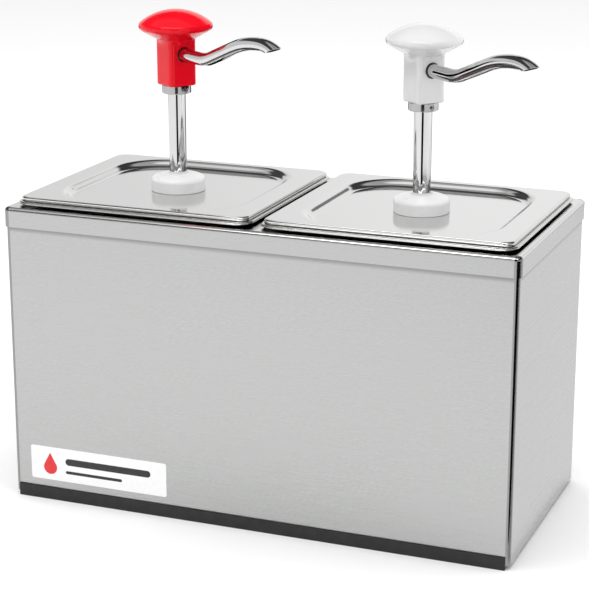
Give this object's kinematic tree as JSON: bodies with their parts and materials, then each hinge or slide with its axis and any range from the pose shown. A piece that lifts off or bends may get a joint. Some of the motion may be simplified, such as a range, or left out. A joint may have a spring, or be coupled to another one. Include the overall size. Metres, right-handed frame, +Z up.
{
  "type": "condiment pump dispenser",
  "caption": "Counter-top sauce dispenser: folded steel case with deep lift-out pans, each under a pressed lid with a spring-return plunger pump, domed knob and curved swivelling spout.",
  "frame": {"origin": "middle of the front foot profile's underside, on the surface that the case stands on", "axes": "+X to the right along the case's long front, +Y to the back, +Z up"},
  "size_m": [0.3703, 0.1715, 0.338],
  "materials": {
    "case_steel": "satin brushed",
    "lid_steel": "satin polished",
    "pan_steel": "satin",
    "polished_steel": "polished",
    "spring_steel": "drawn wire",
    "red_plastic": "gloss",
    "white_gloss_plastic": "gloss",
    "white_plastic": "satin",
    "black_rubber": "matte",
    "label_film": "smooth printed film"
  },
  "bodies": {
    "case": {"case_shell": "case_steel", "rim_frame": "case_steel", "foot_profile_front": "black_rubber", "foot_profile_rear": "black_rubber", "front_label": "label_film"},
    "pan_left": {"pan_left": "pan_steel"},
    "lid_left": {"lid_left": "lid_steel", "lid_gasket_left": "black_rubber", "cylinder_left": "white_plastic", "cap_nut_left": "white_plastic", "guide_bush_left": "white_plastic", "rod_seal_left": "black_rubber", "foot_valve_left": "white_plastic", "inlet_ball_stop_left": "polished_steel", "return_spring_left": "spring_steel"},
    "spring_seat_left": {"spring_seat_left": "white_plastic"},
    "plunger_left": {"pump_head_left": "red_plastic", "spout_left": "polished_steel", "spout_seal_left": "black_rubber", "portion_ring_left": "polished_steel", "grub_screw_left": "spring_steel", "piston_tube_left": "polished_steel", "piston_left": "white_plastic", "piston_seal_left": "black_rubber", "outlet_ball_stop_left": "polished_steel"},
    "inlet_ball_left": {"inlet_ball_left": "polished_steel"},
    "outlet_ball_left": {"outlet_ball_left": "polished_steel"},
    "pan_right": {"pan_right": "pan_steel"},
    "lid_right": {"lid_right": "lid_steel", "lid_gasket_right": "black_rubber", "cylinder_right": "white_plastic", "cap_nut_right": "white_plastic", "guide_bush_right": "white_plastic", "rod_seal_right": "black_rubber", "foot_valve_right": "white_plastic", "inlet_ball_stop_right": "polished_steel", "return_spring_right": "spring_steel"},
    "spring_seat_right": {"spring_seat_right": "white_plastic"},
    "plunger_right": {"pump_head_right": "white_gloss_plastic", "spout_right": "polished_steel", "spout_seal_right": "black_rubber", "portion_ring_right": "polished_steel", "grub_screw_right": "spring_steel", "piston_tube_right": "polished_steel", "piston_right": "white_plastic", "piston_seal_right": "black_rubber", "outlet_ball_stop_right": "polished_steel"},
    "inlet_ball_right": {"inlet_ball_right": "polished_steel"},
    "outlet_ball_right": {"outlet_ball_right": "polished_steel"}
  },
  "joints": [
    {"name": "pan_lift_left", "type": "slide", "parent": "case", "child": "pan_left", "axis": [0, 0, 1], "range_m": [0, 0.21]},
    {"name": "lid_lift_left", "type": "slide", "parent": "pan_left", "child": "lid_left", "axis": [0, 0, 1], "range_m": [0, 0.2]},
    {"name": "pump_stroke_left", "type": "slide", "parent": "lid_left", "child": "spring_seat_left", "axis": [0, 0, 1], "range_m": [-0.055, 0], "stiffness_N_per_m": 200, "springref_m": 0.09, "deforming": ["return_spring_left"]},
    {"name": "head_swivel_left", "type": "hinge", "parent": "spring_seat_left", "child": "plunger_left", "pos_m": [-0.0897, 0.08415, 0.29], "axis": [0, 0, 1], "range_deg": [-175.7, 34.3]},
    {"name": "inlet_ball_lift_left", "type": "slide", "parent": "lid_left", "child": "inlet_ball_left", "axis": [0, 0, 1], "range_m": [0, 0.004]},
    {"name": "outlet_ball_lift_left", "type": "slide", "parent": "plunger_left", "child": "outlet_ball_left", "axis": [0, 0, 1], "range_m": [0, 0.003]},
    {"name": "pan_lift_right", "type": "slide", "parent": "case", "child": "pan_right", "axis": [0.099, 0.099, 0.9901], "range_m": [0, 0.21]},
    {"name": "lid_lift_right", "type": "slide", "parent": "pan_right", "child": "lid_right", "axis": [0.099, 0.099, 0.9901], "range_m": [0, 0.2]},
    {"name": "pump_stroke_right", "type": "slide", "parent": "lid_right", "child": "spring_seat_right", "axis": [0, 0, 1], "range_m": [-0.055, 0], "stiffness_N_per_m": 200, "springref_m": 0.09, "deforming": ["return_spring_right"]},
    {"name": "head_swivel_right", "type": "hinge", "parent": "spring_seat_right", "child": "plunger_right", "pos_m": [0.0897, 0.08415, 0.29], "axis": [0, 0, 1], "range_deg": [-79.3, 130.7]},
    {"name": "inlet_ball_lift_right", "type": "slide", "parent": "lid_right", "child": "inlet_ball_right", "axis": [0, 0, 1], "range_m": [0, 0.004]},
    {"name": "outlet_ball_lift_right", "type": "slide", "parent": "plunger_right", "child": "outlet_ball_right", "axis": [0, 0, 1], "range_m": [0, 0.003]}
  ]
}
